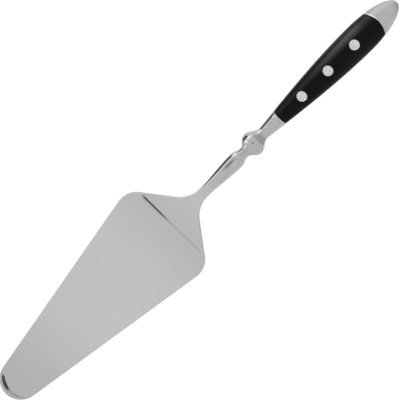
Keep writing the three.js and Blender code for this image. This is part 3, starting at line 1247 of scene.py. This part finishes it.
    def plate_point(self, along: float, half: float, step: int, hand: float) -> tuple[float, float, float]:
        """Point of the plate's cross-section, as a flat plate with eased edges and a ground lip.

        Args:
            along: Length along the spine.
            half: Half width.
            step: Which point, from the top's middle over the edge to the underside's middle.
            hand: Which side of the middle line, 1 or -1.

        Returns:
            Backward shift, sideways place and height share from -1 to 1.
        """
        x = along * math.cos(self.spine.neck_pitch) if along > 0 else along
        angle = self.plan.edge(x)[1]
        normal = Vector((math.cos(angle), math.sin(angle)))
        lip = self.lip.inset(x, half, normal, hand)
        fade = smooth(0.0, self.lip.width, lip)
        depth = self.lip.depth * fade
        radius = self.edge_radius
        foot = max(lip - self.lip.run * fade / 2, self.foot_clear)
        brow = self.brow(lip)
        middle = (brow + self.brow(self.lip.inset(x, half, normal, -hand))) / 2
        top = self.top_steps
        under = top + 2 + 2 * self.edge_steps
        share = 1.0
        down = 0.0
        if step < top:
            share = step / (top - 1)
            inset = mix(middle, brow, share) + self.flat_margin
        elif step == top:
            inset = brow
        elif step == top + 1:
            inset = foot
            down = depth
        elif step < top + 2 + self.edge_steps:
            turn = (step - top - 2) / (self.edge_steps - 1) * math.pi / 2
            inset = radius * (1 - math.sin(turn))
            down = depth + radius * (1 - math.cos(turn))
        elif step < under:
            turn = (step - top - 2 - self.edge_steps) / (self.edge_steps - 1) * math.pi / 2
            inset = radius * (1 - math.cos(turn))
            down = self.thickness - radius * (1 - math.sin(turn))
        else:
            share = 1 - (step - under) / (self.half_steps - under)
            inset = radius + self.flat_margin
            down = self.thickness
        sideways = max(half - inset * normal.y, 0.0) * share
        return -normal.x * inset, sideways, 1 - 2 * down / self.thickness

    def section(self, along: float, half: float, angle: float) -> Vector:
        """Point of the neck's cross-section: cut corners, a flat-topped knob, an oval at the grip.

        Args:
            along: Length along the spine.
            half: Half width there.
            angle: Which point.

        Returns:
            Sideways and upward share.
        """
        neck = self.neck
        power = self.grip.power
        lean = half / self.half_height(along)
        flat = mix(self.root_flat, self.neck_flat, smooth(self.cut_from, self.cut_full, along))
        slope = min(math.tan(self.flank_tilt) * lean, self.cut_limit)
        point = chamfered(angle, power, flat, slope, self.neck_crisp)
        knob = smooth(neck.waist_at, neck.knob_at, along) * (1 - smooth(self.ridge_at, neck.throat_at, along))
        if knob > 0:
            plateau = self.plateau_half + self.plateau_flare * (along - neck.knob_at)
            flat = min(plateau / half, self.plateau_limit)
            slope = math.tan(self.knob_tilt) * lean
            point = point.lerp(chamfered(angle, power, flat, slope, self.knob_crisp), knob)
        return point.lerp(oval(angle, power), smooth(neck.grip_at - self.oval_run, neck.grip_at, along))

    def surface(self, row: int, column: int) -> Vector:
        """Point of the forging.

        Args:
            row: Which cross-section, from the tip to the end of the tang.
            column: Which step round it, from the top's middle.

        Returns:
            The point in the drawing frame.
        """
        steps = self.half_steps
        hand = 1.0 if column <= steps else -1.0
        step = column if column <= steps else 2 * steps - column
        body = len(self.stations)
        if row >= body:
            return self.tang_point(row - body, step, hand)
        along, half = self.stations[row]
        shift, sideways, level = self.plate_point(along, half, step, hand)
        rounded = smooth(self.round_from, self.round_full, along)
        if rounded > 0:
            section = self.section(along, half, math.pi / 2 - math.pi * step / steps)
            sideways = mix(sideways, half * section.x, rounded)
            level = mix(level, section.y, rounded)
        tilt = self.spine.pitch(along, self.neck.stem_at)
        upward = Vector((-math.sin(tilt), 0, math.cos(tilt)))
        point = self.spine.point(along) + upward * level * self.half_height(along)
        point.x += shift * (1 - rounded)
        point.y = hand * sideways
        if step <= self.top_steps + 1:
            point.z -= self.crease.depth * self.crease.share(along, point.y)
        return point

    def tang_point(self, row: int, step: int, hand: float) -> Vector:
        """Point of the tang, which fills the middle layer of the grip up to the round end of the scales.

        Args:
            row: Which cross-section of the tang; the one past its last closes its end.
            step: Which point, from the top's middle over the edge to the underside's middle.
            hand: Which side of the middle line, 1 or -1.

        Returns:
            The point in the drawing frame.
        """
        share = min(row / (self.tang_rows - 1), 1.0)
        section = oval(math.pi / 2 - math.pi * step / self.half_steps, self.grip.power)
        x, y = self.grip.settle(share, 0.0, section.x, 0.0)
        limit = self.grip.tang_half if row < self.tang_rows else 0.0
        z = min(max(self.grip.half_height(x) * section.y, -limit), limit)
        return self.grip_matrix() @ Vector((x, hand * y, z))

    def grip_matrix(self) -> Matrix:
        """Takes the grip's own frame to the drawing frame."""
        turn = Matrix.Rotation(-self.spine.grip_pitch, 4, "Y")
        return Matrix.Translation(self.spine.point(self.neck.grip_at)) @ turn

    def build(self, place: Matrix) -> bpy.types.Object:
        """Builds the forging's mesh, bores its tang, and paints shade into its crease and painted shade, dark
        reflections and highlights onto its neck.

        Args:
            place: Takes the drawing frame to the frame of the solids.

        Returns:
            The forging.
        """
        self.lay_stations()
        rows = len(self.stations) + self.tang_rows
        mesh = mapped_grid(rows, 2 * self.half_steps, self.surface)
        layer = mesh.verts.layers.float.new("corner")
        for vert in mesh.verts:
            if vert.normal.z > 0 and vert.co.z > self.thickness / 2:
                # Painted shade in the crease, plus the marks' painted shade, dark reflections and highlights.
                vert[layer] = self.crease.share(vert.co.x, vert.co.y)
                vert[layer] += sum(mark.shade(vert.co) for mark in self.marks)
        piece = make_piece("finished_forging", mesh, place, self.sharp)
        grip_place = place @ self.grip_matrix()
        bore(piece, [rivet.drill(grip_place) for rivet in self.rivets], self.sharp)
        return piece

    def dress(self, piece: bpy.types.Object, material: bpy.types.Material) -> None:
        """Dresses the forging."""
        dress_piece(piece, "blade_forging", material)


@dataclass(frozen=True)
class Sheen:
    """How glossy a scale's flanks are, as a share of the full gloss.

    Attributes:
        crown: Share of the half width up to which the top stays dull.
        inner: Share from which the flank is at its best.
        outer: Share from which it dulls again towards the edge.
        start: Place along the grip from which the gloss grows.
        best: Where it is full.
        end: Where it has fallen off again.
        start_gloss: Gloss up to the start.
        end_gloss: Gloss past the end.
        growth: Power of its growth; more than 1 holds it back.
        far_gloss: Gloss of the flank on the -y side.
    """

    crown: float = 0.2
    inner: float = 0.7
    outer: float = 0.85
    start: float = 10.0
    best: float = 54.0
    end: float = 61.0
    start_gloss: float = 0.22
    end_gloss: float = 0.45
    growth: float = 1.5
    far_gloss: float = 0.08

    def at(self, x: float, share: float) -> float:
        """Gloss at a place of the scale.

        Args:
            x: Place along the grip.
            share: Distance from the middle line as a share of the half width, negative towards -y.

        Returns:
            Share of the full gloss.
        """
        band = smooth(self.crown, self.inner, abs(share)) * (1 - smooth(self.outer, 1.0, abs(share)))
        grown = mix(self.start_gloss, 1.0, smooth(self.start, self.best, x) ** self.growth)
        left = mix(1.0, self.end_gloss, smooth(self.best, self.end, x))
        return band * grown * left * (1.0 if share > 0 else self.far_gloss)


@dataclass
class Scale:
    """One grip plate, bored for the rivets.

    Attributes:
        grip: Outer form of the grip.
        side: Which face of the grip the plate is on.
        rivets: Halves whose heads sit in it.
        sheen: How its gloss varies.
        ease: How much its end edges are eased.
        end_rows: How many of its rows only close and ease the ends.
    """

    grip: Grip
    side: Side
    rivets: list[Rivet]
    sheen: Sheen = Sheen()
    ease: float = 0.15
    rows: int = 72
    end_rows: int = 3
    arc_steps: int = 40
    sharp: float = 40.0

    @property
    def name(self) -> str:
        """What the plate is called."""
        return f"{self.side.name.lower()}_scale"

    def surface(self, row: int, column: int) -> Vector:
        """Point of the plate.

        Args:
            row: Which cross-section; the first and the last close the ends, and those next to them are eased.
            column: Which step round it: over the arc, then back along the flat inside.

        Returns:
            The point in the grip's frame.
        """
        grip = self.grip
        face = grip.tang_half + grip.seat_gap
        share = min(max((row - 1) / (self.rows - self.end_rows), 0.0), 1.0)
        turn = 1 - abs(1 - column / self.arc_steps)
        x = mix(grip.seat_gap, grip.scale_length, share)
        for _ in range(ROUNDS):
            low = math.asin((face / grip.half_height(x)) ** (grip.power / 2))
            section = oval(mix(low, math.pi - low, turn), grip.power)
            x, y = grip.settle(share, grip.seat_gap, section.x, 0.0)
        z = grip.half_height(x) * section.y
        if row <= 1 or row >= self.rows - 1:
            z -= self.ease
            y -= math.copysign(min(self.ease, abs(y)), y)
        if row in (0, self.rows) or column > self.arc_steps:
            z = face
        return Vector((x, y, max(z, face) * self.side.value))

    def build(self, place: Matrix) -> bpy.types.Object:
        """Builds the plate's mesh, marks its sheen and bores it.

        Args:
            place: Takes the grip's frame to the frame of the solids.

        Returns:
            The plate.
        """
        mesh = mapped_grid(self.rows, 2 * self.arc_steps, self.surface)
        layer = mesh.verts.layers.float.new("flank")
        for vert in mesh.verts:
            share = vert.co.y / max(self.grip.half_width(vert.co.x), WELD)
            vert[layer] = self.sheen.at(vert.co.x, share)
        piece = make_piece(f"finished_{self.name}", mesh, place, self.sharp)
        bore(piece, [rivet.drill(place) for rivet in self.rivets], self.sharp)
        return piece

    def dress(self, piece: bpy.types.Object, material: bpy.types.Material) -> None:
        """Dresses the plate."""
        dress_piece(piece, self.name, material)


@dataclass
class Pommel:
    """The steel end of the grip, with a painted highlight on the front edge of its +y half.

    Attributes:
        grip: Outer form of the grip.
        ease: Radius of the front edge.
        highlight_from: Place across the grip where the painted highlight starts.
        highlight_full: Where it is at its brightest.
        ease_rows: Cross-sections that close the front and ease its edge.
    """

    grip: Grip
    ease: float = 0.5
    highlight_from: float = 1.0
    highlight_full: float = 3.0
    rows: int = 40
    ease_rows: int = 5
    steps: int = 64
    sharp: float = 50.0

    def surface(self, row: int, column: int) -> Vector:
        """Point of the pommel.

        Args:
            row: Which cross-section; the first closes the front, and the next few ease its edge.
            column: Which step round it.

        Returns:
            The point in the grip's frame.
        """
        grip = self.grip
        section = oval(math.tau * column / self.steps, grip.power)
        front = grip.settle(1.0, 0.0, section.x, grip.seat_gap)[0]
        past = max(row - self.ease_rows, 0) / (self.rows - self.ease_rows)
        turn = min(max(row - 1, 0) / (self.ease_rows - 1), 1.0) * math.pi / 2
        x = mix(front + self.ease * (1 - math.cos(turn)), grip.length, math.sin(past * math.pi / 2))
        shrink = self.ease * (1 - math.sin(turn))
        y = section.x * max(grip.half_width(x) - shrink, 0.0)
        z = section.y * max(grip.half_height(x) - shrink, 0.0)
        return Vector((x, y, 0.0 if row == 0 else z))

    def build(self, place: Matrix) -> bpy.types.Object:
        """Builds the pommel's mesh, and paints a highlight on the +y half of its front edge.

        Args:
            place: Takes the grip's frame to the frame of the solids.

        Returns:
            The pommel.
        """
        mesh = mapped_grid(self.rows, self.steps, self.surface)
        layer = mesh.verts.layers.float.new("corner")
        for vert in mesh.verts:
            # Painted highlight on the front edge of the +y half, the side that faces the light.
            past = vert.co.x - self.grip.scale_end(vert.co.y, self.grip.seat_gap)
            half = smooth(self.highlight_from, self.highlight_full, vert.co.y)
            vert[layer] = -half * (1 - smooth(self.ease, 2 * self.ease, past))
        return make_piece("finished_pommel", mesh, place, self.sharp)

    def dress(self, piece: bpy.types.Object, material: bpy.types.Material) -> None:
        """Dresses the pommel."""
        dress_piece(piece, "pommel_cap", material)


@dataclass(frozen=True)
class Panel:
    """A soft light or a dark flag in the surroundings; angles in degrees.

    Attributes:
        light: Brightness that it shows.
        turn: Direction of its middle, from the grip's end towards +y.
        spread: How far it reaches to either side of that.
        low: Height of its lower edge above the horizon.
        high: Height of its upper edge.
        soft: Half width of its soft edges.
    """

    light: float
    turn: float
    spread: float
    low: float
    high: float
    soft: float


@dataclass
class Studio:
    """Pale floor, soft surrounding light and the camera.

    Attributes:
        image_side: Side of the square picture in pixels.
        mm_per_pixel: Size of a pixel at the blade.
        distance: From the camera to the blade.
        lean: How far the camera leans off the upright.
        turn: How far the server lies turned in the picture.
        centre: Place in the drawing frame that is in the middle of the picture.
        floor_drop: How far the floor lies under the blade, so that the two never coincide.
        surround: Brightness where no panel is.
        panels: Lights and flags, each laid over those before it.
    """

    image_side: float = 400.0
    mm_per_pixel: float = 0.46
    distance: float = 5000.0
    lean: float = math.radians(3.8)
    turn: float = math.radians(45.64)
    centre: tuple[float, float] = (16.9, -1.52)
    sensor: float = 36.0
    floor_side: float = 8000.0
    floor_drop: float = 0.05
    surround: float = 0.9
    panels: tuple[Panel, ...] = (
        # Ground all round
        Panel(light=0.85, turn=0.0, spread=180.0, low=-90.0, high=-14.0, soft=4.0),
        # Walls of uneven brightness on the -y side, and a lighter one behind the grip's +y side
        Panel(light=0.85, turn=-135.0, spread=32.0, low=18.0, high=52.0, soft=8.0),
        Panel(light=1.0, turn=-100.0, spread=30.0, low=-14.0, high=18.0, soft=6.0),
        Panel(light=0.65, turn=-155.0, spread=25.0, low=2.0, high=24.0, soft=6.0),
        Panel(light=0.62, turn=-20.0, spread=50.0, low=15.0, high=62.0, soft=10.0),
        Panel(light=0.6, turn=-38.0, spread=26.0, low=-16.0, high=24.0, soft=8.0),
        Panel(light=1.12, turn=60.0, spread=40.0, low=-14.0, high=50.0, soft=5.0),
        # Two black flags that the +y flanks of the neck show as dark lines, and a bright strip above them
        Panel(light=0.02, turn=148.0, spread=30.0, low=6.0, high=23.0, soft=3.0),
        Panel(light=0.02, turn=111.0, spread=12.0, low=-26.0, high=14.0, soft=3.0),
        Panel(light=1.28, turn=120.0, spread=30.0, low=21.0, high=54.0, soft=5.0),
    )

    def build_floor(self) -> None:
        """Lays the pale floor just under the blade."""
        mesh = bmesh.new()
        bmesh.ops.create_grid(mesh, x_segments=1, y_segments=1, size=self.floor_side / 2 * MM)
        bmesh.ops.translate(mesh, verts=mesh.verts, vec=(0, 0, -self.floor_drop * MM))
        data = bpy.data.meshes.new("floor")
        mesh.to_mesh(data)
        mesh.free()
        floor = bpy.data.objects.new("floor", data)
        floor.data.materials.append(PaintedBoard().material())
        floor.visible_glossy = False
        bpy.context.scene.collection.objects.link(floor)

    def build_light(self) -> None:
        """Surrounds the server with even light and lays the panels into it one over the other."""
        world = bpy.data.worlds.new("studio")
        world.use_nodes = True
        tree = world.node_tree
        coord = add_node(tree, "ShaderNodeTexCoord", {})
        way = add_node(tree, "ShaderNodeSeparateXYZ", {0: coord.outputs["Generated"]})
        turn = add_node(
            tree, "ShaderNodeMath", {0: way.outputs["Y"], 1: way.outputs["X"]}, operation="ARCTAN2")
        rise = add_node(tree, "ShaderNodeMath", {0: way.outputs["Z"]}, operation="ARCSINE")
        shade: Feed = self.surround
        for panel in self.panels:
            cover: Feed = 1.0
            reaches = ((turn, panel.turn, panel.spread),
                       (rise, (panel.low + panel.high) / 2, (panel.high - panel.low) / 2))
            for angle, middle, half in reaches:
                off = add_node(
                    tree, "ShaderNodeMath", {0: angle.outputs[0], 1: math.radians(middle)},
                    operation="SUBTRACT")
                off = add_node(
                    tree, "ShaderNodeMath", {0: off.outputs[0], 1: math.pi, 2: -math.pi}, operation="WRAP")
                off = add_node(tree, "ShaderNodeMath", {0: off.outputs[0]}, operation="ABSOLUTE")
                inside = add_node(
                    tree, "ShaderNodeMapRange",
                    {"Value": off.outputs[0], "From Min": math.radians(half - panel.soft),
                     "From Max": math.radians(half + panel.soft), "To Min": 1.0, "To Max": 0.0},
                    interpolation_type="SMOOTHSTEP")
                cover = add_node(
                    tree, "ShaderNodeMath", {0: inside.outputs[0], 1: cover}, operation="MULTIPLY").outputs[0]
            shade = add_node(
                tree, "ShaderNodeMix", {0: cover, NUMBER_A: shade, NUMBER_B: panel.light},
                data_type="FLOAT").outputs[0]
        tree.links.new(shade, tree.nodes["Background"].inputs["Strength"])
        tree.nodes["Background"].inputs["Color"].default_value = (1, 1, 1, 1)
        bpy.context.scene.world = world

    def build_camera(self, place: Matrix) -> None:
        """Sets the camera almost straight above, far off, with the server across the frame's diagonal.

        Args:
            place: Takes the drawing frame to the frame of the solids.
        """
        back = Vector((0, math.sin(self.lean), math.cos(self.lean)))
        across = Vector((0, math.cos(self.lean), -math.sin(self.lean)))
        along = Vector((1, 0, 0))
        right = math.cos(self.turn) * along - math.sin(self.turn) * across
        upward = math.sin(self.turn) * along + math.cos(self.turn) * across
        aim = place @ Vector((*self.centre, 0))
        matrix = Matrix((right, upward, back)).transposed().to_4x4()
        matrix.translation = aim + back * self.distance * MM
        data = bpy.data.cameras.new("camera")
        data.sensor_width = self.sensor
        data.lens = self.sensor * self.distance / (self.image_side * self.mm_per_pixel)
        data.clip_end = 2 * self.distance * MM
        camera = bpy.data.objects.new("camera", data)
        camera.matrix_world = matrix
        bpy.context.scene.collection.objects.link(camera)
        bpy.context.scene.camera = camera

    def build(self, place: Matrix) -> None:
        """Builds floor, light and camera.

        Args:
            place: Takes the drawing frame to the frame of the solids.
        """
        self.build_floor()
        self.build_light()
        self.build_camera(place)
        bpy.context.scene.view_settings.view_transform = "Standard"


Maker = Forging | Pommel | Scale | Rivet  # what builds and dresses one piece


def main() -> None:
    """Builds and dresses every piece of the server and reports it, then builds the studio."""
    logging.basicConfig(level=logging.INFO)
    grip = Grip()
    plan = Plan()
    neck = Neck(plan)
    rivets = {side: [Rivet(grip, i + 1, side, at) for i, at in enumerate(grip.rivet_places)] for side in Side}
    forging = Forging(
        plan, neck, Spine(neck.pitch, neck.throat_at), grip, Lip(plan), rivets[Side.UPPER])
    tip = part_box("blade_forging")[0].x
    place = Matrix.Translation((tip + plan.length * MM, 0, 0)) @ Matrix.Scale(MM, 4)
    grip_place = place @ forging.grip_matrix()

    satin = GroundSteel(name="Stainless steel, cast and satined", roughness=0.38, neck_contrast=0.06)
    acetal = BlackAcetal().material()
    aluminium = SandedAluminium().material()
    makers: list[tuple[Maker, Matrix, bpy.types.Material]] = [
        (forging, place, GroundSteel().material()), (Pommel(grip), grip_place, satin.material())]
    for side in Side:
        makers.append((Scale(grip, side, rivets[side]), grip_place, acetal))
        makers += [(rivet, grip_place, aluminium) for rivet in rivets[side]]
    for maker, where, material in makers:
        piece = maker.build(where)
        maker.dress(piece, material)
        LOG.info("%s: %d faces in %s", piece.name, len(piece.data.polygons), material.name)

    Studio().build(place)


if __name__ == "__main__":
    main()
